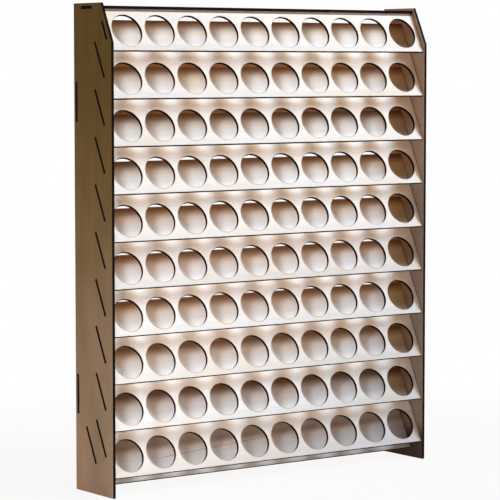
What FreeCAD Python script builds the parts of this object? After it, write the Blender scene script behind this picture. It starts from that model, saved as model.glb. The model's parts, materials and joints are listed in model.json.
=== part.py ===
import FreeCAD, Part
import os
import Sketcher

# Louvred rack for round paint pots, laser-cut from birch plywood.
#
# Ten leaning plates with a row of round holes each stand between two side panels,
# one above the other.  A pot goes through a hole of one plate, and its base stands
# on the plain upper band of the plate below, which rises behind it.  A plate without
# holes does that for the lowest row.  A board across the top and two upright rails
# across the back brace the panels.  Every cross piece butts against the inner faces
# of the panels, and a tab at each of its ends goes through a slot in the panel and
# finishes flush with its outer face.
#
# Frame: millimetres, +X to the right, -Y to the front, +Z up.  The origin is on the
# standing surface, midway between the panels and midway from front to back.

# Driving dimensions: name, value in millimetres or degrees, meaning.
SIZES = [
    ("ply", 3, "thickness of the plywood sheet"),
    ("rows", 10, "plates with holes"),
    ("columns", 10, "holes in a plate"),
    ("row_pitch", 48, "height from one plate to the next"),
    ("column_pitch", 40, "distance from one hole to the next"),
    ("hole_diameter", 35, "hole for a pot"),
    ("hole_rise", 22.5, "hole centre above its plate's lower edge"),
    ("end_margin", 3, "plate past the first and the last column"),
    ("lean", 26, "angle of the plates from upright, tops to the rear"),
    ("plate_height", 88, "strip that a full plate is cut from"),
    ("edge_setback", 1.25, "plates' lower edges behind the panels' front edges"),
    ("foot_height", 20, "lowest hole plate above the standing surface"),
    ("tab_length", 40, "tab of a full plate or a rail"),
    ("short_tab", 20, "tab of the top hole plate or the top board"),
    ("tab_play", 0.1, "gap all round a tab in its slot, and over the top plate"),
    ("slope_height", 40, "height of the panels' sloping top front corner"),
    ("board_drop", 3, "top board below the top of the panels"),
    ("board_lip", 0.75, "top board in front of the plate under it"),
    ("board_tab_inset", 14, "rear edge of the top board to its tab"),
    ("rail_height", 88, "height of a back rail"),
    ("rail_inset", 100, "middle of a rail to that end of the rack"),
    ("rail_setback", 3, "rails in front of the panels' rear edges"),
    ("rail_gap", 2, "least gap between the rest plate and the lower rail"),
]

# Lengths that several pieces share, as expressions on the sheet.
INNER_WIDTH = "(Sizes.columns * Sizes.column_pitch + 2 * Sizes.end_margin)"
RACK_HEIGHT = "(Sizes.foot_height + Sizes.rows * Sizes.row_pitch)"
TOP_EDGE = "(Sizes.foot_height + (Sizes.rows - 1) * Sizes.row_pitch)"
BOARD_UNDERSIDE = f"({RACK_HEIGHT} - Sizes.board_drop - Sizes.ply)"
TOP_PLATE_RISE = f"({BOARD_UNDERSIDE} - {TOP_EDGE})"
TOP_PLATE_HEIGHT = f"(({TOP_PLATE_RISE} - Sizes.tab_play) / cos(Sizes.lean))"
PLATE_SPACING = "(Sizes.row_pitch * sin(Sizes.lean))"
REST_PLATE_REACH = (
    f"(Sizes.edge_setback + ({PLATE_SPACING} + Sizes.ply) * cos(Sizes.lean)"
    " + Sizes.plate_height * sin(Sizes.lean))"
)
RACK_DEPTH = f"ceil({REST_PLATE_REACH} + Sizes.rail_gap + Sizes.ply + Sizes.rail_setback)"
REAR = f"({RACK_DEPTH} / 2)"
PLATE_FRONT = f"(Sizes.edge_setback - {REAR})"
BOARD_FRONT = f"({PLATE_FRONT} + {TOP_PLATE_RISE} * tan(Sizes.lean) - Sizes.board_lip)"
BOARD_DEPTH = f"({REAR} - {BOARD_FRONT})"
BOARD_TAB_START = f"({BOARD_DEPTH} - Sizes.board_tab_inset - Sizes.short_tab)"
RAIL_FRONT = f"({REAR} - Sizes.rail_setback - Sizes.ply)"

doc = FreeCAD.newDocument("PotRack")
sheet = doc.addObject("Spreadsheet::Sheet", "Sizes")
for row, (name, value, meaning) in enumerate(SIZES, start=1):
    sheet.set(f"A{row}", meaning)
    sheet.set(f"B{row}", str(value))
    sheet.setAlias(f"B{row}", name)
doc.recompute()

cuts = []  # feature before a cut, feature after it, sketch of one cut, number of cuts


# Sketches

def bind(thing, sizes):
    """Bind an object's properties to expressions."""
    for name, expression in sizes.items():
        thing.setExpression(name, expression)


def origin_part(body, role):
    """The plane or axis of the body's own origin that has this role."""
    return next(part for part in body.Origin.OriginFeatures if part.Role == role)


def new_sketch(body, name, plane):
    sketch = body.newObject("Sketcher::SketchObject", name)
    sketch.AttachmentSupport = [(origin_part(body, plane), "")]
    sketch.MapMode = "FlatFace"
    return sketch


def dimension(sketch, kind, geometry, expression):
    """Add a dimension between two points or on a circle, and bind it to an expression."""
    index = sketch.addConstraint(Sketcher.Constraint(kind, *geometry, 1))
    sketch.setExpression(f"Constraints[{index}]", expression)


def closed_loop(sketch, corners, level, upright):
    """Join corners by lines into a loop.  Some lines are kept level, some upright."""
    points = [FreeCAD.Vector(*corner, 0) for corner in corners]
    first = sketch.GeometryCount
    for start, end in zip(points, points[1:] + points[:1]):
        sketch.addGeometry(Part.LineSegment(start, end), False)
    lines = list(range(first, sketch.GeometryCount))
    for line, following in zip(lines, lines[1:] + lines[:1]):
        sketch.addConstraint(Sketcher.Constraint("Coincident", line, 2, following, 1))
    for place in level:
        sketch.addConstraint(Sketcher.Constraint("Horizontal", lines[place]))
    for place in upright:
        sketch.addConstraint(Sketcher.Constraint("Vertical", lines[place]))
    return lines


def place_corner(sketch, line, across, up):
    """Set a line's first point out from the sketch's origin."""
    dimension(sketch, "DistanceX", (-1, 1, line, 1), across)
    dimension(sketch, "DistanceY", (-1, 1, line, 1), up)


def rectangle(sketch, left, bottom, width, height):
    corners = [(0, 0), (1, 0), (1, 1), (0, 1)]
    base, side, _, _ = closed_loop(sketch, corners, level=(0, 2), upright=(1, 3))
    place_corner(sketch, base, left, bottom)
    dimension(sketch, "DistanceX", (base, 1, base, 2), width)
    dimension(sketch, "DistanceY", (side, 1, side, 2), height)


def lay_on_plate(sketch, plate_edge):
    """Turn a panel's sketch to a leaning plate: its X goes through the plate, its Y up it.

    Its origin is then on the front of the plate's lower edge, at the height plate_edge.
    """
    sketch.AttachmentOffset = FreeCAD.Placement(
        FreeCAD.Vector(0, 0, 0), FreeCAD.Rotation(FreeCAD.Vector(0, 0, 1), -1)
    )
    bind(sketch, {
        "AttachmentOffset.Base.x": PLATE_FRONT,
        "AttachmentOffset.Base.y": plate_edge,
        "AttachmentOffset.Rotation.Angle": "-Sizes.lean",
    })


# Features

def sheet_pad(body, sketch, name, backwards):
    """Give a sketch the thickness of the plywood."""
    pad = body.newObject("PartDesign::Pad", name)
    pad.Profile = sketch
    pad.Reversed = backwards
    bind(pad, {"Length": "Sizes.ply"})
    return pad


def cut_through(body, sketch, name, backwards):
    """Cut a sketch right through the plywood, the same way as it was padded."""
    before = body.Tip
    pocket = body.newObject("PartDesign::Pocket", name)
    pocket.Profile = sketch
    pocket.Type = "ThroughAll"
    pocket.Reversed = not backwards
    cuts.append((before, pocket, sketch, "1"))
    return pocket


def repeat(body, sketch, pocket, name, axis, pitch, count):
    """Repeat a cut along an axis of the body."""
    pattern = body.newObject("PartDesign::LinearPattern", name)
    pattern.Originals = [pocket]
    pattern.Direction = (origin_part(body, axis), [""])
    bind(pattern, {"Length": f"{pitch} * ({count} - 1)", "Occurrences": count})
    body.Tip = pattern
    cuts.append((pocket, pattern, sketch, f"{count} - 1"))


# Pieces

def side_panel(label, left_face):
    """Upright panel, with a slot for each tab.  left_face is the X of that face."""
    body = doc.addObject("PartDesign::Body", label)
    outline = new_sketch(body, f"{label}_outline", "YZ_Plane")
    corners = [(-1, 0), (1, 0), (1, 9), (0, 9), (-1, 8)]
    base, rear, _, _, front = closed_loop(outline, corners, level=(0, 2), upright=(1, 4))
    slope = front - 1
    place_corner(outline, base, f"-{REAR}", "0")
    dimension(outline, "DistanceX", (base, 1, base, 2), RACK_DEPTH)
    dimension(outline, "DistanceY", (rear, 1, rear, 2), RACK_HEIGHT)
    dimension(outline, "DistanceY", (slope, 2, slope, 1), "Sizes.slope_height")
    dimension(outline, "DistanceX", (slope, 2, slope, 1), "Sizes.slope_height * tan(Sizes.lean)")
    sheet_pad(body, outline, f"{label}_sheet", backwards=False)
    cut_plate_slots(body, label)
    cut_board_slot(body, label)
    cut_rail_slots(body, label)
    bind(body, {"Placement.Base.x": left_face})
    return body


def slot_on_plate(body, name, plate_edge, through, plate_height, tab):
    """Cut the slot for the tab in the middle of a leaning plate's end."""
    sketch = new_sketch(body, f"{name}_outline", "YZ_Plane")
    lay_on_plate(sketch, plate_edge)
    rectangle(
        sketch,
        f"{through} - Sizes.tab_play",
        f"({plate_height} - {tab}) / 2 - Sizes.tab_play",
        "Sizes.ply + 2 * Sizes.tab_play",
        f"{tab} + 2 * Sizes.tab_play",
    )
    return sketch, cut_through(body, sketch, name, backwards=False)


def cut_plate_slots(body, label):
    """Cut a slot for the top plate, the column of full plates and the rest plate."""
    slot_on_plate(
        body, f"{label}_top_plate_slot", TOP_EDGE, "0", TOP_PLATE_HEIGHT, "Sizes.short_tab"
    )
    full_plate = ("Sizes.plate_height", "Sizes.tab_length")
    slot_on_plate(
        body, f"{label}_rest_slot", "Sizes.foot_height", PLATE_SPACING, *full_plate
    )
    sketch, slot = slot_on_plate(
        body, f"{label}_plate_slot", "Sizes.foot_height", "0", *full_plate
    )
    repeat(
        body, sketch, slot, f"{label}_plate_slots", "Z_Axis", "Sizes.row_pitch", "(Sizes.rows - 1)"
    )


def cut_board_slot(body, label):
    sketch = new_sketch(body, f"{label}_board_slot_outline", "YZ_Plane")
    rectangle(
        sketch,
        f"{BOARD_FRONT} + {BOARD_TAB_START} - Sizes.tab_play",
        f"{BOARD_UNDERSIDE} - Sizes.tab_play",
        "Sizes.short_tab + 2 * Sizes.tab_play",
        "Sizes.ply + 2 * Sizes.tab_play",
    )
    cut_through(body, sketch, f"{label}_board_slot", backwards=False)


def cut_rail_slots(body, label):
    sketch = new_sketch(body, f"{label}_rail_slot_outline", "YZ_Plane")
    rectangle(
        sketch,
        f"{RAIL_FRONT} - Sizes.tab_play",
        "Sizes.rail_inset - Sizes.tab_length / 2 - Sizes.tab_play",
        "Sizes.ply + 2 * Sizes.tab_play",
        "Sizes.tab_length + 2 * Sizes.tab_play",
    )
    slot = cut_through(body, sketch, f"{label}_rail_slot", backwards=False)
    between_rails = f"({RACK_HEIGHT} - 2 * Sizes.rail_inset)"
    repeat(body, sketch, slot, f"{label}_rail_slots", "Z_Axis", between_rails, "2")


def cross_piece(label, plane, height, tab, tab_start, backwards):
    """Flat piece from panel to panel, with a tab at each end.

    It stands on the body's X axis, and its front or lower face is on the plane.
    """
    body = doc.addObject("PartDesign::Body", label)
    outline = new_sketch(body, f"{label}_outline", plane)
    rectangle(outline, f"-{INNER_WIDTH} / 2", "0", INNER_WIDTH, height)
    sheet_pad(body, outline, f"{label}_sheet", backwards)
    tabs = new_sketch(body, f"{label}_tab_outlines", plane)
    rectangle(tabs, f"-{INNER_WIDTH} / 2 - Sizes.ply", tab_start, "Sizes.ply", tab)
    rectangle(tabs, f"{INNER_WIDTH} / 2", tab_start, "Sizes.ply", tab)
    sheet_pad(body, tabs, f"{label}_tabs", backwards)
    return body


def upright_piece(label, height, tab):
    """Cross piece that stands on its long edge, with its tabs at half its height."""
    return cross_piece(label, "XZ_Plane", height, tab, f"({height} - {tab}) / 2", backwards=True)


def set_on_lean(body, front, lower_edge):
    """Lean an upright piece back about its front lower edge, and put that edge in place."""
    body.Placement = FreeCAD.Placement(
        FreeCAD.Vector(0, 0, 0), FreeCAD.Rotation(FreeCAD.Vector(1, 0, 0), -1)
    )
    bind(body, {
        "Placement.Base.y": front,
        "Placement.Base.z": lower_edge,
        "Placement.Rotation.Angle": "-Sizes.lean",
    })


def cut_hole_row(body, label):
    sketch = new_sketch(body, f"{label}_hole_outline", "XZ_Plane")
    circle = sketch.addGeometry(Part.Circle(FreeCAD.Vector(0, 0, 0), FreeCAD.Vector(0, 0, 1), 1))
    dimension(sketch, "Diameter", (circle,), "Sizes.hole_diameter")
    first_centre = "-(Sizes.columns - 1) * Sizes.column_pitch / 2"
    dimension(sketch, "DistanceX", (-1, 1, circle, 3), first_centre)
    dimension(sketch, "DistanceY", (-1, 1, circle, 3), "Sizes.hole_rise")
    hole = cut_through(body, sketch, f"{label}_hole", backwards=True)
    repeat(
        body, sketch, hole, f"{label}_holes", "X_Axis", "Sizes.column_pitch", "Sizes.columns"
    )


def hole_plate(number):
    """Leaning plate with a row of holes.  Plate 1 is the short one under the top board."""
    label = f"hole_plate_{number:02d}"
    if number == 1:
        body = upright_piece(label, TOP_PLATE_HEIGHT, "Sizes.short_tab")
    else:
        body = upright_piece(label, "Sizes.plate_height", "Sizes.tab_length")
    cut_hole_row(body, label)
    lower_edge = f"Sizes.foot_height + (Sizes.rows - {number}) * Sizes.row_pitch"
    set_on_lean(body, PLATE_FRONT, lower_edge)
    return body


def rest_plate():
    """Leaning plate without holes, square behind the lowest hole plate."""
    body = upright_piece("rest_plate", "Sizes.plate_height", "Sizes.tab_length")
    front = f"{PLATE_FRONT} + {PLATE_SPACING} * cos(Sizes.lean)"
    lower_edge = f"Sizes.foot_height - {PLATE_SPACING} * sin(Sizes.lean)"
    set_on_lean(body, front, lower_edge)
    return body


def back_rail(label, middle):
    body = upright_piece(label, "Sizes.rail_height", "Sizes.tab_length")
    bind(body, {
        "Placement.Base.y": RAIL_FRONT,
        "Placement.Base.z": f"{middle} - Sizes.rail_height / 2",
    })
    return body


def top_board():
    body = cross_piece(
        "top_board", "XY_Plane", BOARD_DEPTH, "Sizes.short_tab", BOARD_TAB_START, backwards=False
    )
    bind(body, {"Placement.Base.y": BOARD_FRONT, "Placement.Base.z": BOARD_UNDERSIDE})
    return body


pieces = [
    side_panel("left_side", f"-{INNER_WIDTH} / 2 - Sizes.ply"),
    side_panel("right_side", f"{INNER_WIDTH} / 2"),
    top_board(),
    *[hole_plate(number) for number in range(1, int(sheet.rows) + 1)],
    rest_plate(),
    back_rail("upper_rail", f"{RACK_HEIGHT} - Sizes.rail_inset"),
    back_rail("lower_rail", "Sizes.rail_inset"),
]
doc.recompute()


# Checks and export

def check_cut(before, after, sketch, count):
    """Compare what a cut took away with the area of its sketch."""
    taken = before.Shape.Volume - after.Shape.Volume
    number = sheet.evalExpression(count)
    wanted = number * Part.Face(sketch.Shape.Wires).Area * sheet.ply
    if abs(taken - wanted) > 1e-6 * before.Shape.Volume:
        raise RuntimeError(f"{after.Name} takes {taken:.3f} mm3, not {wanted:.3f}")


for thing in doc.Objects:
    if {"Invalid", "Error"} & set(thing.State):
        raise RuntimeError(f"{thing.Name} failed: {thing.State}")
for cut in cuts:
    check_cut(*cut)
for piece in pieces:
    if piece.Shape.isNull() or not piece.Shape.isValid() or len(piece.Shape.Solids) != 1:
        raise RuntimeError(f"{piece.Label} is not one valid solid")

os.makedirs("parts", exist_ok=True)
for piece in pieces:
    piece.Shape.exportStep(f"parts/{piece.Label}.step")
    box = piece.Shape.BoundBox
    print(
        f"{piece.Label}: {piece.Shape.Volume / 1000:.2f} cm3,"
        f" X {box.XMin:.2f} to {box.XMax:.2f},"
        f" Y {box.YMin:.2f} to {box.YMax:.2f},"
        f" Z {box.ZMin:.2f} to {box.ZMax:.2f}"
    )
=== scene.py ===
import json
import math
from typing import NamedTuple

import bpy
from mathutils import Euler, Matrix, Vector


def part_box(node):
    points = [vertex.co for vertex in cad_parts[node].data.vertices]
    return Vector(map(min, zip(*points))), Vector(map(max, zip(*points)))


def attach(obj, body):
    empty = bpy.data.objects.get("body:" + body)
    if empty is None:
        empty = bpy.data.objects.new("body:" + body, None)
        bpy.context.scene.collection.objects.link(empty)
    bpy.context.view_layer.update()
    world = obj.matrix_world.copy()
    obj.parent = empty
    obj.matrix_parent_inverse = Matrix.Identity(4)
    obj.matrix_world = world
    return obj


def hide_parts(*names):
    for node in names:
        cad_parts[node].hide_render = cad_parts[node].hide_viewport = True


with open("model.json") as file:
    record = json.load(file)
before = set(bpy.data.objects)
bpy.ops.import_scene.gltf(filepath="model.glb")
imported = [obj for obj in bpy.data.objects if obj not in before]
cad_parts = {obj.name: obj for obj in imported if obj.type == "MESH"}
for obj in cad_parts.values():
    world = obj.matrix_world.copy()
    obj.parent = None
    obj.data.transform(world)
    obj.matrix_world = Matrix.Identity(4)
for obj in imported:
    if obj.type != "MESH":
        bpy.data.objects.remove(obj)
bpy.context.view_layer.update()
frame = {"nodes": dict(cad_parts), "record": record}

# A rack of laser-cut birch plywood: ten leaning plates with pot holes and one plain rest plate,
# held by their tabs in the slots of two side panels, with a top board and two back rails.
# Metres throughout, X to the right, Y to the rear, Z up.

MM = 0.001


def mm(*lengths):
    """Millimetres as metres."""
    return tuple(length * MM for length in lengths)


PLY = 3 * MM                         # thickness of the sheet
INNER_X = 203 * MM                   # inner face of a side panel
ROWS, COLUMNS = 10, 10
TAB, SHORT_TAB = mm(40, 20)          # the full plates' tabs and the short top plate's
TAB_START = 24 * MM                  # up a full plate
FACETS = 72                          # sides of a modelled hole
SCORCHED_RIM = 0.18 * MM             # chamfer that the laser leaves on a cut
CHAMFERED = math.radians(40)         # an edge that turns by more than this is chamfered
SHARP = math.radians(30)             # and one that turns by more than this is shaded sharp

bores = {m["name"]: m for m in frame["record"]["mounts"] if m["kind"] == "bore"}
first_hole, last_hole = bores["pot_hole_r01_c01"], bores["pot_hole_r10_c10"]
LEAN = math.atan2(first_hole["axis"][2], -first_hole["axis"][1])
UP = Vector((0, math.sin(LEAN), math.cos(LEAN)))         # up a leaning plate
THROUGH = Vector((0, math.cos(LEAN), -math.sin(LEAN)))   # from its front face to its rear face
HOLE_RADIUS = first_hole["dims"]["r_mm"] * MM
FIRST_HOLE_X = first_hole["pos_m"][0]
HOLE_PITCH = (last_hole["pos_m"][0] - FIRST_HOLE_X) / (COLUMNS - 1)
ROW_PITCH = (first_hole["pos_m"][2] - last_hole["pos_m"][2]) / (ROWS - 1)


def lower_front_edge(node):
    """Middle of the lower front edge of a leaning plate."""
    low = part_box(node)[0]
    return Vector((0, low.y, low.z + PLY * math.sin(LEAN)))


def plate_height(node):
    """How far a leaning plate reaches up from its lower edge."""
    return (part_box(node)[1].z - lower_front_edge(node).z) / math.cos(LEAN)


def tab_of(node):
    """How far up a leaning plate its tab starts, and the tab's length."""
    if node == "hole_plate_01":
        return (plate_height(node) - SHORT_TAB) / 2, SHORT_TAB
    return TAB_START, TAB


# From a plate's lower edge up to the middle of its holes.
HOLE_RISE = (Vector(last_hole["pos_m"]) - lower_front_edge("hole_plate_10")).dot(UP)


# ---------------------------------------------------------------- node trees

class Graph:
    """A node tree with one way to add any node."""

    def __init__(self, tree):
        self.tree = tree

    def node(self, kind, settings=None, inputs=None, out=0):
        made = self.tree.nodes.new(kind)
        for name, value in (settings or {}).items():
            setattr(made, name, value)
        for key, value in (inputs or {}).items():
            if isinstance(value, Value):
                self.tree.links.new(value.socket, made.inputs[key])
            else:
                made.inputs[key].default_value = value
        return Value(self, made.outputs[out]) if len(made.outputs) else made

    def vector(self, operation, *values, out=0):
        """A Vector Math node. Its output is "Value" where it gives a number."""
        inputs = dict(enumerate(values))
        return self.node("ShaderNodeVectorMath", {"operation": operation}, inputs, out)

    def combined(self, x, y, z):
        return self.node("ShaderNodeCombineXYZ", None, {0: x, 1: y, 2: z})

    def split(self, vector):
        x = self.node("ShaderNodeSeparateXYZ", None, {0: vector})
        return x, x.sister("Y"), x.sister("Z")

    def colours(self, factor, first, second, blend="MIX"):
        first, second = (c if isinstance(c, Value) else (*c, 1) for c in (first, second))
        settings = {"data_type": "RGBA", "blend_type": blend}
        return self.node("ShaderNodeMix", settings, {0: factor, 6: first, 7: second}, out=2)

    def tinted(self, colour, amount, tint):
        """The colour, multiplied by the tint where the amount is 1."""
        return self.colours(amount, colour, self.colours(1.0, colour, tint, "MULTIPLY"))

    def noise(self, place, scale=1.0, detail=2.0, roughness=0.5, distortion=0.0):
        inputs = {"Vector": place, "Scale": scale, "Detail": detail,
                  "Roughness": roughness, "Distortion": distortion}
        return self.node("ShaderNodeTexNoise", None, inputs)

    def pattern(self, kind, along, across, seed):
        """A Pattern on a surface with these coordinates."""
        place = self.combined(along * kind.along, across * kind.across, seed + kind.layer)
        noise = self.noise(place, detail=kind.detail, distortion=kind.distortion)
        return noise.step(kind.low, kind.high) * kind.share


class Pattern(NamedTuple):
    """Cloudy noise with so many cycles per metre along and across the grain, which rises from
    0 to its share between a low and a high value of the noise."""
    along: float
    across: float
    low: float
    high: float
    share: float
    detail: float = 2
    distortion: float = 0
    layer: float = 0


class Value:
    """A socket that takes part in sums: each operator adds its Math node."""

    def __init__(self, graph, socket):
        self.graph, self.socket = graph, socket

    def math(self, operation, *values):
        inputs = dict(enumerate(values))
        return self.graph.node("ShaderNodeMath", {"operation": operation}, inputs)

    def sister(self, name):
        """Another output of the same node."""
        return Value(self.graph, self.socket.node.outputs[name])

    def __add__(self, other):
        return self.math("ADD", self, other)

    def __sub__(self, other):
        return self.math("SUBTRACT", self, other)

    def __rsub__(self, other):
        return self.math("SUBTRACT", other, self)

    def __mul__(self, other):
        return self.math("MULTIPLY", self, other)

    def __truediv__(self, other):
        return self.math("DIVIDE", self, other)

    def __rtruediv__(self, other):
        return self.math("DIVIDE", other, self)

    def __neg__(self):
        return self.math("MULTIPLY", self, -1.0)

    def __abs__(self):
        return self.math("ABSOLUTE", self)

    def __pow__(self, other):
        return self.math("POWER", self, other)

    def __rpow__(self, other):
        return self.math("POWER", other, self)

    __radd__, __rmul__ = __add__, __mul__

    def least(self, other):
        return self.math("MINIMUM", self, other)

    def most(self, other):
        return self.math("MAXIMUM", self, other)

    def folded(self, pitch, centre):
        """Signed distance from the nearest of a row of centres that lie a pitch apart."""
        return self.math("WRAP", self - centre, -pitch / 2, pitch / 2)

    def step(self, low, high):
        """A soft step: 0 at low, 1 at high, either way round."""
        settings = {"interpolation_type": "SMOOTHSTEP"}
        inputs = {0: self, 1: low, 2: high, 3: 0.0, 4: 1.0}
        if low > high:
            inputs.update({1: high, 2: low, 3: 1.0, 4: 0.0})
        return self.graph.node("ShaderNodeMapRange", settings, inputs)

    def between(self, start, full, fading, end):
        """1 between two limits, with a soft step at each."""
        return self.step(start, full) * self.step(end, fading)


# ---------------------------------------------------------------- birch plywood

# Three tones of each face: ground, figure, and patches and streaks.
FRONT_FACE = ((0.900, 0.872, 0.852), (0.885, 0.838, 0.788), (0.830, 0.700, 0.520))
REAR_FACE = ((0.910, 0.580, 0.255), (0.850, 0.500, 0.200), (0.890, 0.520, 0.190))
# Side panels: birch darkened by painted shade, olive brown outside and sandy brown inside.
OUTSIDE_SHADE_TONES = ((0.236, 0.168, 0.068), (0.194, 0.135, 0.049), (0.248, 0.163, 0.057))
INSIDE_SHADE_TONES = ((0.470, 0.365, 0.280), (0.422, 0.317, 0.232), (0.470, 0.336, 0.222))
FLECK = (0.480, 0.330, 0.200)
SMOKE = (0.420, 0.270, 0.150)
CHAR = (0.003, 0.002, 0.002)
CHAR_BROWN = (0.012, 0.006, 0.004)

# Each sheet's front face is its three tones times one of these, from the top row down.
PLATE_TONES = (
    (0.92, 0.92, 0.92), (0.94, 0.93, 0.92), (0.95, 0.95, 0.95), (0.96, 0.96, 0.96),
    (0.97, 0.97, 0.97), (0.92, 0.90, 0.89), (1.00, 1.00, 1.00), (1.00, 0.99, 0.98),
    (1.02, 1.03, 1.04), (0.96, 0.94, 0.93),
)
REST_TONE = (0.95, 0.86, 0.80)
RAIL_TONE = (0.72, 0.56, 0.43)
PLAIN = (1, 1, 1)

FIGURE = Pattern(5, 60, 0.38, 0.66, 0.80, detail=3, distortion=0.6)
PATCHES = Pattern(9, 16, 0.48, 0.72, 0.34)
STREAKS = Pattern(7, 340, 0.56, 0.74, 0.16)
STAINS = Pattern(30, 7, 0.60, 0.76, 0.38, layer=5)
FLECKS = Pattern(160, 1500, 0.70, 0.78, 0.22, detail=1)
SOOT = Pattern(500, 900, 0.35, 0.70, 0.80, detail=3)
FIBRES = (35, 1100)                  # cycles per metre along and across the grain
FIBRE_ROUGHNESS = 0.65
FIBRE_SHADE = (0.30, 0.75)           # heights of the fibres that are darkest and lightest
DARKEST, SHADE_RANGE = 0.93, 0.09
FIBRE_BUMP, FIBRE_DEPTH = 0.22, 0.15 * MM
GLOSS = 0.05                         # specular level: the sheet is bare and matt
FACE_ROUGHNESS, FIBRE_RISE, EDGE_RISE = 0.58, 0.14, 0.16
CORE = mm(0.75, 0.45)                # the middle veneer of an edge, out from its middle line
FACE_ON = (0.80, 0.93)               # cosines: from a cut edge to a face
ONE_SIDE = (-0.2, 0.2)               # cosines: from one face to the other


def veneer(g, along, across, seed, tones):
    """Face veneer of birch: soft figure, fibres along the grain, warm patches, dark flecks.
    Returns its colour and the height of its fibres."""
    def pattern(kind):
        return g.pattern(kind, along, across, seed)

    ground, figure, patch = tones
    grain = g.combined(along * FIBRES[0], across * FIBRES[1], seed)
    fibres = g.noise(grain, detail=3, roughness=FIBRE_ROUGHNESS)
    colour = g.colours(pattern(FIGURE), ground, figure)
    colour = g.colours(pattern(PATCHES), colour, patch)
    colour = g.colours(pattern(STREAKS) + pattern(STAINS), colour, patch)
    colour = g.colours(pattern(FLECKS), colour, FLECK)
    shade = fibres.step(*FIBRE_SHADE) * SHADE_RANGE + DARKEST
    return g.colours(1.0, colour, g.combined(shade, shade, shade), "MULTIPLY"), fibres


def scorched_edge(g, depth, along, seed):
    """Laser-cut edge: nearly black, the middle veneer a little browner, with ragged soot."""
    core = abs(depth - PLY / 2).step(*CORE)
    return g.colours(core * g.pattern(SOOT, along, depth, seed), CHAR, CHAR_BROWN)


def wood(name, build):
    """A plywood material. build(g, object coordinates, face normal) gives colour, fibres and
    how far a point is cut edge rather than face."""
    material = bpy.data.materials.new(name)
    material.use_nodes = True
    material.node_tree.nodes.clear()
    g = Graph(material.node_tree)
    place = g.node("ShaderNodeTexCoord", out="Object")
    colour, fibres, edge = build(g, place, place.sister("Normal"))
    bump = g.node("ShaderNodeBump", None, {
        "Strength": FIBRE_BUMP, "Distance": FIBRE_DEPTH, "Height": fibres * (1 - edge)})
    shader = g.node("ShaderNodeBsdfPrincipled", None, {
        "Base Color": colour, "Specular IOR Level": GLOSS, "Normal": bump,
        "Roughness": FACE_ROUGHNESS + fibres * FIBRE_RISE + edge * EDGE_RISE})
    g.node("ShaderNodeOutputMaterial", None, {"Surface": shader})
    return material


def box_distance(a, b, half_a, half_b):
    """Distance outside a rectangle, from the offsets to its centre."""
    out_a, out_b = (abs(a) - half_a).most(0.0), (abs(b) - half_b).most(0.0)
    return (out_a * out_a + out_b * out_b) ** 0.5


class Burn(NamedTuple):
    """Laser marks beside a cut: how strong the smoke is and how wide the burnt line."""
    smoke: float
    line: float


PLATE_BURN, PANEL_BURN = Burn(0.50, 0.36 * MM), Burn(0.35, 0.55 * MM)
SMOKE_REACH = mm(1.5, 0)
SMOKE_SCALE, SMOKE_RANGE = 160, (0.25, 0.75)
LINE_CORE, LINE_SHARE = 0.3, 0.8     # part of the burnt line that is full, and how dark it is


def smoked(g, colour, distance, seed, place, burn):
    """Brown laser smoke beside a cut, uneven along it, and a burnt line at its edge."""
    uneven = g.noise(g.vector("ADD", place, (seed, seed, seed)), scale=SMOKE_SCALE)
    halo = distance.step(*SMOKE_REACH) * uneven.step(*SMOKE_RANGE) * burn.smoke
    line = distance.step(burn.line, burn.line * LINE_CORE) * LINE_SHARE
    return g.colours(line, g.colours(halo, colour, SMOKE), CHAR_BROWN)


def leaning(g, place, edge_point):
    """Coordinates on a leaning plate: along it, through it, up it."""
    turn = Euler((LEAN, 0, 0))
    shift = -(turn.to_matrix() @ edge_point)
    inputs = {"Vector": place, "Location": shift, "Rotation": turn}
    return g.split(g.node("ShaderNodeMapping", {"vector_type": "POINT"}, inputs))


def facing(g, normal, direction):
    """1 on a face whose normal lies along the direction, 0 on a cut edge."""
    return abs(g.vector("DOT_PRODUCT", normal, direction, out="Value")).step(*FACE_ON)


def two_faced(g, normal, backward, tone):
    """A pale face veneer in front and a warm one behind. Returns how far a face looks
    backward, and the veneers' tones."""
    rear = g.vector("DOT_PRODUCT", normal, backward, out="Value").step(*ONE_SIDE)
    return rear, [g.colours(rear, [c * t for c, t in zip(front, tone)], back)
                  for front, back in zip(FRONT_FACE, REAR_FACE)]


# ---------------------------------------------------------------- wood of the leaning plates

# Painted shade on the front of a plate, each patch with its tint. Two limits say where a patch
# starts and is full, and four also where it fades and ends. They run up the plate, unless the name
# says X or Z.
SHADE_BEHIND_HOLES, SHADE_BEHIND_HOLES_TINT = mm(50, 62, 64, 74), (0.87, 0.92, 0.98)     # painted shade behind the holes of the plate above
CORNER_SHADE_X, CORNER_SHADE_TINT = mm(168, 178), (0.77, 0.61, 0.41)       # painted shade as high up, by the right panel
FOOT_SHADE, FOOT_SHADE_TINT = mm(12, 5), (0.91, 0.93, 0.94)                # painted shade along the lower edge
LIP_SHADOW, LIP_SHADOW_TINT = mm(3.4, 2.4), (0.24, 0.19, 0.20)               # painted shadow under the top board's lip
REST_SHADE, REST_SHADE_TINT = mm(36, 20), (0.76, 0.85, 0.95)               # painted shade on the lower half of the rest plate
FALLOFF_SHADE_X, FALLOFF_SHADE_Z = mm(-150, 220), mm(380, 40)                # painted shade at the lower right of the rack
FALLOFF_SHADE_TINT = (0.76, 0.82, 0.90)
TOP_SHADE, REST_TOP_SHADE = mm(75, 87), mm(30, 41.6)                   # painted shade towards the upper edge
TOP_SHADE_TINT = (0.35, 0.24, 0.17)
TOP_SHADE_LEVEL, TOP_SHADE_SHIFT = 260 * MM, 6 * MM    # so much lower for each metre below this level

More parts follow.
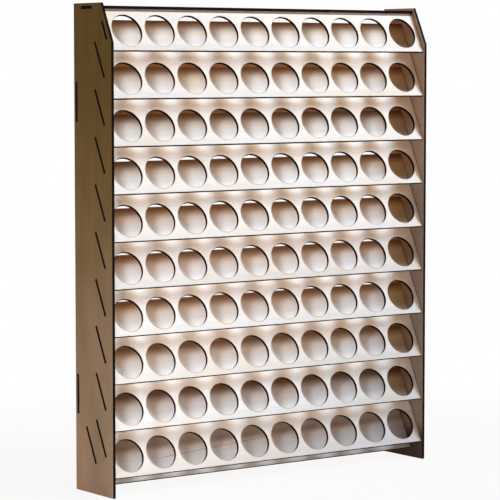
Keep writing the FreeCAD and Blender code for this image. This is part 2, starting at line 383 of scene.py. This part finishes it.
# Painted light on the band under the plate above, and warm painted shade by each hole.
PAINTED_LIGHT_BAND, HOLE_SHADE_BAND = mm(33, 42, 52, 66), mm(35, 44, 50, 60)
PAINTED_LIGHT, PAINTED_LIGHT_SHARE = (1.00, 0.99, 0.99), 0.50
HOLE_SHADE = (0.96, 0.89, 0.76)
HOLE_SHADE_SHIFT, HOLE_SHADE_REACH = 9 * MM, mm(12, 1)     # right of a hole's centre, and to each side
HOLE_SHADE_UNEVEN = Pattern(22, 60, 0.20, 0.70, 0.50)
LEAST_HOLE_SHADE = 0.50

GRAIN_SLANT = 0.012                  # rise of the grain along a plate
END_BURN = 0.4                       # share of the distance from a plate's end that counts
LINE_COLOUR, GRAIN_SHARE = (0.12, 0.06, 0.05), 0.62
WANDER, WANDER_SCALE, WANDER_LAYER = 1.2 * MM, 60, 0.3    # how unsteady the grain lines are
LONG_LINE_RISE, LONG_LINE_SLOPE = 30.65 * MM, 0.0708
LONG_LINE_X, LONG_LINE_WIDTH = mm(-134, -122, 6, 26), mm(0.42, 0.12)
SHORT_LINE_RISE = 30.1 * MM
SHORT_LINE_X, SHORT_LINE_WIDTH = mm(-165, -161, -156, -152), mm(0.35, 0.10)


def plate_wood(name, node, seed, tone, shade_heights=TOP_SHADE):
    """Plywood of a leaning plate, smoked round its holes and along its outline, with painted
    shade between the two top-shade heights, ever more towards its top."""
    edge_point, height = lower_front_edge(node), plate_height(node)
    shift = (edge_point.z - TOP_SHADE_LEVEL) * TOP_SHADE_SHIFT
    shade_heights = [limit + shift for limit in shade_heights]

    def build(g, place, normal):
        x, depth, up = leaning(g, place, edge_point)
        rear, tones = two_faced(g, normal, THROUGH, tone)
        front = 1 - rear
        colour, fibres = veneer(g, x, up + x * GRAIN_SLANT, seed, tones)
        corner_shade = up.step(*SHADE_BEHIND_HOLES[:2]) * x.step(*CORNER_SHADE_X)
        falloff_shade = x.step(*FALLOFF_SHADE_X) * g.split(place)[2].step(*FALLOFF_SHADE_Z)
        # Painted shade: behind the holes above, by the right panel, along the lower edge, towards
        # the top and at the lower right.
        for amount, tint in (
                (up.between(*SHADE_BEHIND_HOLES), SHADE_BEHIND_HOLES_TINT), (corner_shade, CORNER_SHADE_TINT),
                (up.step(*FOOT_SHADE), FOOT_SHADE_TINT), (up.step(*shade_heights), TOP_SHADE_TINT),
                (falloff_shade, FALLOFF_SHADE_TINT)):
            colour = g.tinted(colour, amount * front, tint)
        if node == "hole_plate_01":
            # Painted shadow under the top board's lip.
            colour = g.tinted(colour, (height - up).step(*LIP_SHADOW), LIP_SHADOW_TINT)
        else:
            # Painted light on the band under the plate above, and painted shade by each hole.
            colour = band_light_and_shade(g, colour, x, up, seed, front)
        outline = up.least(height - up).least((INNER_X - abs(x)).most(0.0) * END_BURN)
        if node == "rest_plate":
            # Painted shade on the lower half of the rest plate.
            colour = g.tinted(colour, up.step(*REST_SHADE) * front, REST_SHADE_TINT)
            colour = split_grain(g, colour, x, up)
        else:
            dx, dz = x.folded(HOLE_PITCH, FIRST_HOLE_X), up - HOLE_RISE
            outline = outline.least(abs((dx * dx + dz * dz) ** 0.5 - HOLE_RADIUS))
        colour = smoked(g, colour, outline, seed, place, PLATE_BURN)
        edge = 1 - facing(g, normal, THROUGH)
        colour = g.colours(edge, colour, scorched_edge(g, depth, x + up, seed))
        return colour, fibres, edge

    return wood(name, build)


def band_light_and_shade(g, colour, x, up, seed, front):
    """Painted light on the band under the plate above, with a faint warm painted shade by each
    hole.
    """
    colour = g.colours(up.between(*PAINTED_LIGHT_BAND) * front * PAINTED_LIGHT_SHARE, colour, PAINTED_LIGHT)
    off = abs(x.folded(HOLE_PITCH, FIRST_HOLE_X + HOLE_SHADE_SHIFT))
    uneven = g.pattern(HOLE_SHADE_UNEVEN, x, up, seed) + LEAST_HOLE_SHADE
    # Warm painted shade by each hole.
    patch = off.step(*HOLE_SHADE_REACH) * up.between(*HOLE_SHADE_BAND) * uneven
    return g.tinted(colour, patch * front, HOLE_SHADE)


def split_grain(g, colour, x, up):
    """The long dark grain line that crosses the rest plate, and a short one beside it."""
    wander = (g.noise(g.combined(x * WANDER_SCALE, WANDER_LAYER, 0.0)) - 0.5) * WANDER
    long_line = abs(up - LONG_LINE_SLOPE * x - LONG_LINE_RISE + wander).step(*LONG_LINE_WIDTH)
    short_line = abs(up - SHORT_LINE_RISE + wander).step(*SHORT_LINE_WIDTH)
    lines = (long_line * x.between(*LONG_LINE_X)).most(short_line * x.between(*SHORT_LINE_X))
    return g.colours(lines * GRAIN_SHARE, colour, LINE_COLOUR)


# ---------------------------------------------------------------- wood of the side panels

PANEL_GRAIN_SLANT = 0.008
# Outside: painted shade, darker and greener at the top; painted floor light in mauve towards the
# foot, and ochre there too; cloudy all over.
PANEL_TOP_SHADE_Z, PANEL_TOP_SHADE_TINT, PANEL_TOP_SHADE_SHARE = mm(180, 520), (0.35, 0.33, 0.10), 0.36
# Painted floor light in mauve towards the foot of the outer face.
PAINTED_FLOOR_LIGHT_Z, PAINTED_FLOOR_LIGHT = mm(340, 40), (0.465, 0.345, 0.288)
PAINTED_FLOOR_LIGHT_UNEVEN, LEAST_PAINTED_FLOOR_LIGHT = Pattern(14, 5, 0.30, 0.70, 0.40), 0.35
OCHRE_Y, OCHRE_Z, OCHRE, OCHRE_SHARE = mm(8, 34), mm(90, 10), (0.415, 0.288, 0.110), 0.45
CLOUDS, CLOUD_TINT = Pattern(26, 11, 0.40, 0.66, 0.55, detail=3, layer=3), (0.78, 0.80, 0.74)
# Two scratches low on the left panel, each from one Y and Z to another.
SCRATCHES = ((mm(-17.7, 39.2), mm(-14.8, 36.1)), (mm(-24.3, 68.1), mm(-23.9, 63.0)))
SCRATCH_HALF_WIDTH, SCRATCH_FADE, SCRATCH_SHARE = 0.05 * MM, mm(0.55, 0.10), 0.6
LEFT_HALF = mm(100, -100)            # X, so that the right panel has none
# Inside, painted shade: darker beside the lower rows, warmer behind the plates, dark at the foot.
LOW_ROWS_SHADE_Z, LOW_ROWS_SHADE_TINT = mm(340, 270), (0.69, 0.70, 0.71)
BEHIND_PLATES_SHADE_Y, BEHIND_PLATES_SHADE_TINT = mm(-16, -4), (1.00, 0.84, 0.66)
INNER_FOOT_SHADOW_Z, INNER_FOOT_SHADOW_TINT = mm(46, 22), (0.26, 0.24, 0.26)

ROW_SLOTS_Z = mm(30, 34, 452, 456)   # heights between which the full plates' slots repeat
FAR = 100 * MM                       # farther from any slot than smoke reaches
RAIL_BURN = 0.5                      # share of the distance from a rail's slot that counts


def slot_distance(y, z):
    """Distance on a side panel from the nearest slot."""
    def slanted(node, repeated=False):
        start, length = tab_of(node)
        centre = lower_front_edge(node) + (start + length / 2) * UP + PLY / 2 * THROUGH
        dy = y - centre.y
        dz = z.folded(ROW_PITCH, centre.z) if repeated else z - centre.z
        up = dy * UP.y + dz * UP.z
        depth = dy * THROUGH.y + dz * THROUGH.z
        return box_distance(up, depth, length / 2, PLY / 2)

    def upright(node):
        low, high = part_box(node)
        middle = (low + high) / 2
        return box_distance(y - middle.y, z - middle.z, PLY / 2, TAB / 2)

    full_plates = slanted("hole_plate_05", repeated=True) + (1 - z.between(*ROW_SLOTS_Z)) * FAR
    rails = upright("upper_rail").least(upright("lower_rail"))
    return (full_plates.least(slanted("hole_plate_01")).least(slanted("rest_plate"))
            .least(rails * RAIL_BURN))


def scratch(y, z, start, end):
    """A short dark mark between two points, each with its Y and Z."""
    start, end = Vector(start), Vector(end)
    along = (end - start).normalized()
    middle = (start + end) / 2
    dy, dz = y - middle.x, z - middle.y
    distance = box_distance(dy * along.x + dz * along.y, dy * along.y - dz * along.x,
                            (end - start).length / 2, SCRATCH_HALF_WIDTH)
    return distance.step(*SCRATCH_FADE)


def outside_shade_and_marks(g, colour, place, seed, outside):
    """Painted shade at the top, painted floor light towards the foot, ochre, clouds and scratches
    on a panel's outer face.
    """
    x, y, z = g.split(place)
    # Painted shade darkens the top, and painted floor light lightens the foot in mauve.
    colour = g.tinted(colour, z.step(*PANEL_TOP_SHADE_Z) * outside * PANEL_TOP_SHADE_SHARE, PANEL_TOP_SHADE_TINT)
    uneven = g.pattern(PAINTED_FLOOR_LIGHT_UNEVEN, y, z, seed) + LEAST_PAINTED_FLOOR_LIGHT
    colour = g.colours(uneven * z.step(*PAINTED_FLOOR_LIGHT_Z) * outside, colour, PAINTED_FLOOR_LIGHT)
    ochre = y.step(*OCHRE_Y) * z.step(*OCHRE_Z) * outside * OCHRE_SHARE
    colour = g.colours(ochre, colour, OCHRE)
    colour = g.tinted(colour, g.pattern(CLOUDS, y, z, seed) * outside, CLOUD_TINT)
    first, second = (scratch(y, z, start, end) for start, end in SCRATCHES)
    marks = first.most(second) * x.step(*LEFT_HALF) * outside * SCRATCH_SHARE
    return g.colours(marks, colour, CHAR_BROWN)


def shaded_inside(g, colour, place, inside):
    """Painted shade on a panel's inner face: darker beside the lower rows, warmer behind the
    plates, dark at the foot.
    """
    y, z = g.split(place)[1:]
    for amount, tint in ((z.step(*LOW_ROWS_SHADE_Z), LOW_ROWS_SHADE_TINT), (y.step(*BEHIND_PLATES_SHADE_Y), BEHIND_PLATES_SHADE_TINT),
                         (z.step(*INNER_FOOT_SHADOW_Z), INNER_FOOT_SHADOW_TINT)):
        colour = g.tinted(colour, amount * inside, tint)
    return colour


def panel_wood(name, outward, seed):
    """Plywood of a side panel: upright grain, darkened by painted shade, sandy inside and olive
    brown outside.
    """
    def build(g, place, normal):
        x, y, z = g.split(place)
        outside = (g.split(normal)[0] * outward).step(*ONE_SIDE)
        # Tones darkened by painted shade, olive brown outside and sandy brown inside.
        tones = [g.colours(outside, inner, outer) for inner, outer in zip(INSIDE_SHADE_TONES, OUTSIDE_SHADE_TONES)]
        colour, fibres = veneer(g, z, y + z * PANEL_GRAIN_SLANT, seed, tones)
        colour = outside_shade_and_marks(g, colour, place, seed, outside)
        colour = shaded_inside(g, colour, place, 1 - outside)
        colour = smoked(g, colour, slot_distance(y, z), seed, place, PANEL_BURN)
        edge = 1 - facing(g, normal, (1, 0, 0))
        colour = g.colours(edge, colour, scorched_edge(g, abs(x) - INNER_X, y + z, seed))
        return colour, fibres, edge

    return wood(name, build)


# ---------------------------------------------------------------- wood of the rails and top board

def flat_wood(name, node, backward, seed, tone=PLAIN):
    """Plywood of a rail or of the top board, with its grain along X and its warm face
    backward."""
    depth_axis = 1 if backward[1] else 2
    up_axis = 3 - depth_axis

    def build(g, place, normal):
        axes = g.split(place)
        tones = two_faced(g, normal, backward, tone)[1]
        colour, fibres = veneer(g, axes[0], axes[up_axis], seed, tones)
        edge = 1 - facing(g, normal, backward)
        depth = axes[depth_axis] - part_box(node)[0][depth_axis]
        colour = g.colours(edge, colour, scorched_edge(g, depth, axes[0], seed))
        return colour, fibres, edge

    return wood(name, build)


# ---------------------------------------------------------------- shape of the hole plates

PLATE_INPUTS = (
    ("Width", "Float"), ("Height", "Float"), ("Thickness", "Float"),
    ("Tab Start", "Float"), ("Tab Length", "Float"), ("Tab Reach", "Float"),
    ("Hole Count", "Int"), ("Hole Pitch", "Float"), ("Hole Radius", "Float"),
    ("Hole Rise", "Float"), ("Facets", "Int"), ("Lean", "Float"),
    ("Lower Edge", "Vector"), ("Plywood", "Material"),
)
DRILL_LENGTH = 3                     # in thicknesses of the sheet
PLATE_SEED = 1.37                    # step from one row's veneer pattern to the next


def hole_plate_tree():
    """A sheet with a tab at each end and a row of round holes, leaned back into its place."""
    tree = bpy.data.node_groups.new("hole plate", "GeometryNodeTree")
    for name, kind in PLATE_INPUTS:
        tree.interface.new_socket(name, in_out="INPUT", socket_type="NodeSocket" + kind)
    tree.interface.new_socket("Geometry", in_out="OUTPUT", socket_type="NodeSocketGeometry")
    g = Graph(tree)
    given = g.node("NodeGroupInput")
    width, height, thickness, start, tab, reach, count, pitch, radius, rise, facets, lean, \
        lower_edge, plywood = (given.sister(name) for name, kind in PLATE_INPUTS)

    def block(wide, tall, middle):
        cube = g.node("GeometryNodeMeshCube", None, {"Size": g.combined(wide, thickness, tall)})
        shift = g.combined(0.0, thickness / 2, middle)
        return g.node("GeometryNodeTransform", None, {"Geometry": cube, "Translation": shift})

    body = block(width, height, height / 2)
    tabs = block(width + 2 * reach, tab, start + tab / 2)
    sheet = g.node("GeometryNodeMeshBoolean", {"operation": "UNION", "solver": "MANIFOLD"},
                   {"Mesh 2": body})
    tree.links.new(tabs.socket, sheet.socket.node.inputs["Mesh 2"])
    centres = g.node("GeometryNodeMeshLine", {"mode": "OFFSET"}, {
        "Count": count, "Offset": g.combined(pitch, 0.0, 0.0),
        "Start Location": g.combined(-0.5 * pitch * (count - 1), thickness / 2, rise)})
    drill = g.node("GeometryNodeMeshCylinder", None, {
        "Vertices": facets, "Radius": radius, "Depth": thickness * DRILL_LENGTH})
    drill = g.node("GeometryNodeTransform", None, {
        "Geometry": drill, "Rotation": Euler((math.pi / 2, 0, 0))})
    drills = g.node("GeometryNodeInstanceOnPoints", None, {"Points": centres, "Instance": drill})
    drills = g.node("GeometryNodeRealizeInstances", None, {"Geometry": drills})
    bored = g.node("GeometryNodeMeshBoolean", {"operation": "DIFFERENCE", "solver": "MANIFOLD"},
                   {"Mesh 1": sheet, "Mesh 2": drills})
    placed = g.node("GeometryNodeTransform", None, {
        "Geometry": bored, "Translation": lower_edge,
        "Rotation": g.combined(-lean, 0.0, 0.0)})
    whole = g.node("GeometryNodeRealizeInstances", None, {"Geometry": placed})
    finished = g.node("GeometryNodeSetMaterial", None, {"Geometry": whole, "Material": plywood})
    g.node("NodeGroupOutput", None, {"Geometry": finished})
    return tree


def grown(name, tree, values, chamfer):
    """A plain mesh object from a node tree with these inputs and a chamfer on its cut edges."""
    seedling = bpy.data.objects.new(name + "_seedling", bpy.data.meshes.new(name + "_seedling"))
    bpy.context.scene.collection.objects.link(seedling)
    modifier = seedling.modifiers.new("shape", "NODES")
    modifier.node_group = tree
    for item in tree.interface.items_tree:
        if item.item_type == "SOCKET" and item.in_out == "INPUT":
            modifier[item.identifier] = values[item.name]
    bevel = seedling.modifiers.new("chamfer", "BEVEL")
    bevel.width, bevel.segments = chamfer, 1
    bevel.limit_method, bevel.angle_limit = "ANGLE", CHAMFERED
    depsgraph = bpy.context.evaluated_depsgraph_get()
    mesh = bpy.data.meshes.new_from_object(seedling.evaluated_get(depsgraph))
    bpy.data.objects.remove(seedling)
    mesh.name = name
    mesh.shade_smooth()
    mesh.set_sharp_from_angle(angle=SHARP)
    piece = bpy.data.objects.new(name, mesh)
    bpy.context.scene.collection.objects.link(piece)
    return piece


def hole_plate(row, tree):
    """The visible plate of one row."""
    node = f"hole_plate_{row:02d}"
    start, length = tab_of(node)
    plywood = plate_wood(f"birch_plate_{row:02d}", node, row * PLATE_SEED, PLATE_TONES[row - 1])
    values = {
        "Width": 2 * INNER_X, "Height": plate_height(node), "Thickness": PLY,
        "Tab Start": start, "Tab Length": length, "Tab Reach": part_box(node)[1].x - INNER_X,
        "Hole Count": COLUMNS, "Hole Pitch": HOLE_PITCH, "Hole Radius": HOLE_RADIUS,
        "Hole Rise": HOLE_RISE, "Facets": FACETS, "Lean": LEAN,
        "Lower Edge": lower_front_edge(node), "Plywood": plywood,
    }
    piece = grown(f"pot_plate_{row:02d}", tree, values, SCORCHED_RIM)
    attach(piece, "root")
    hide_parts(node)


# ---------------------------------------------------------------- the rack

DOWN, TO_THE_REAR = (0, 0, -1), (0, 1, 0)
SEEDS = {                            # one veneer pattern for each carried-over node
    "rest_plate": 21.3, "left_side": 31.9, "right_side": 43.1,
    "top_board": 51.7, "upper_rail": 63.3, "lower_rail": 77.9,
}


def dress(node, material):
    """Gives a carried-over CAD node its finish."""
    mesh = frame["nodes"][node].data
    mesh.materials.clear()
    mesh.materials.append(material)


plate_tree = hole_plate_tree()
for row in range(1, ROWS + 1):
    hole_plate(row, plate_tree)
dress("rest_plate", plate_wood("birch_rest_plate", "rest_plate", SEEDS["rest_plate"],
                               REST_TONE, REST_TOP_SHADE))
dress("left_side", panel_wood("birch_left_panel", -1, SEEDS["left_side"]))
dress("right_side", panel_wood("birch_right_panel", 1, SEEDS["right_side"]))
dress("top_board", flat_wood("birch_top_board", "top_board", DOWN, SEEDS["top_board"]))
for rail in ("upper_rail", "lower_rail"):
    dress(rail, flat_wood("birch_" + rail, rail, TO_THE_REAR, SEEDS[rail], RAIL_TONE))


# ---------------------------------------------------------------- floor, light and camera

WHITE = (1, 1, 1, 1)
FLOOR_COLOUR, FLOOR_ROUGHNESS, FLOOR_GLOSS = (0.86, 0.86, 0.86, 1), 0.9, 0.1
FLOOR_REACH = 4.0                    # from the rack to each edge of the floor
FLOOR_WHITE = 0.90                   # share of plain white under the rack
ALL_WHITE = (0.30, 0.80)             # metres out, where that share rises to the whole


def camera_white(g, share):
    """How far a surface shows as plain white to the camera and in reflections."""
    path = g.node("ShaderNodeLightPath", out="Is Camera Ray")
    seen = path.most(path.sister("Is Glossy Ray")).most(path.sister("Is Transmission Ray"))
    return seen * share


def pale_floor():
    """White floor that keeps a soft shadow under the rack and fades to plain white."""
    mesh = bpy.data.meshes.new("floor")
    signs = ((-1, -1), (1, -1), (1, 1), (-1, 1))
    mesh.from_pydata([(x * FLOOR_REACH, y * FLOOR_REACH, 0) for x, y in signs], [], [(0, 1, 2, 3)])
    floor = bpy.data.objects.new("floor", mesh)
    bpy.context.scene.collection.objects.link(floor)
    material = bpy.data.materials.new("pale_floor")
    material.use_nodes = True
    material.node_tree.nodes.clear()
    g = Graph(material.node_tree)
    away = g.vector("LENGTH", g.node("ShaderNodeTexCoord", out="Object"), out="Value")
    lit = g.node("ShaderNodeBsdfPrincipled", None, {
        "Base Color": FLOOR_COLOUR, "Roughness": FLOOR_ROUGHNESS,
        "Specular IOR Level": FLOOR_GLOSS})
    plain = g.node("ShaderNodeEmission", None, {"Color": WHITE, "Strength": 1.0})
    share = camera_white(g, FLOOR_WHITE + away.step(*ALL_WHITE) * (1 - FLOOR_WHITE))
    mixed = g.node("ShaderNodeMixShader", None, {0: share, 1: lit, 2: plain})
    g.node("ShaderNodeOutputMaterial", None, {"Surface": mixed})
    mesh.materials.append(material)


def surroundings(colour, strength):
    """White behind the rack to the camera, and a dim warm room for the light it gives."""
    world = bpy.data.worlds.new("studio")
    bpy.context.scene.world = world
    world.use_nodes = True
    world.node_tree.nodes.clear()
    g = Graph(world.node_tree)
    room = g.node("ShaderNodeBackground", None, {"Color": (*colour, 1), "Strength": strength})
    white = g.node("ShaderNodeBackground", None, {"Color": WHITE, "Strength": 1.0})
    mixed = g.node("ShaderNodeMixShader", None, {0: camera_white(g, 1.0), 1: room, 2: white})
    g.node("ShaderNodeOutputWorld", None, {"Surface": mixed})


def soft_lamp(name, place, aim, size, power, colour, spread=180):
    """A square soft box that looks at a point."""
    lamp = bpy.data.lights.new(name, "AREA")
    lamp.size, lamp.energy, lamp.color = size, power, colour
    lamp.spread = math.radians(spread)
    holder = bpy.data.objects.new(name, lamp)
    holder.location = place
    holder.rotation_euler = (Vector(aim) - Vector(place)).to_track_quat("-Z", "Y").to_euler()
    holder.visible_camera = False
    bpy.context.scene.collection.objects.link(holder)


CAMERA_PLACE = (-1.47340, -2.00151, 0.43722)
CAMERA_DOWN, CAMERA_TURN = 0.078903, 0.631614    # radians below the horizon, and to the right
SENSOR_WIDTH = 36.0                              # millimetres, as the lens
IMAGE_WIDTH, FOCAL_PIXELS = 500, 2336.3
CAMERA_REACH = 50.0                              # metres


def view_camera():
    """The camera stands to the left of the front, a little above the middle."""
    camera = bpy.data.cameras.new("camera")
    camera.sensor_width = SENSOR_WIDTH
    camera.lens = SENSOR_WIDTH * FOCAL_PIXELS / IMAGE_WIDTH
    camera.clip_end = CAMERA_REACH
    holder = bpy.data.objects.new("camera", camera)
    holder.location = CAMERA_PLACE
    holder.rotation_euler = (math.pi / 2 - CAMERA_DOWN, 0, -CAMERA_TURN)
    bpy.context.scene.collection.objects.link(holder)
    bpy.context.scene.camera = holder


pale_floor()
surroundings(colour=(1.0, 0.64, 0.40), strength=0.41)
soft_lamp("key", place=(1.13, -0.98, 1.23), aim=(-0.20, 0, 0.42), size=0.92,
          power=6.15, colour=(0.79, 0.91, 1.0), spread=56)
soft_lamp("rear", place=(0.75, 1.7, 1.0), aim=(0, 0, 0.25), size=0.8,
          power=6, colour=(1.0, 0.96, 0.90))
soft_lamp("low_left", place=(-0.70, -0.30, 0.05), aim=(-0.206, 0, 0.05), size=0.3,
          power=0.6, colour=(0.86, 0.90, 1.0), spread=90)
view_camera()
bpy.context.scene.view_settings.view_transform = "Standard"
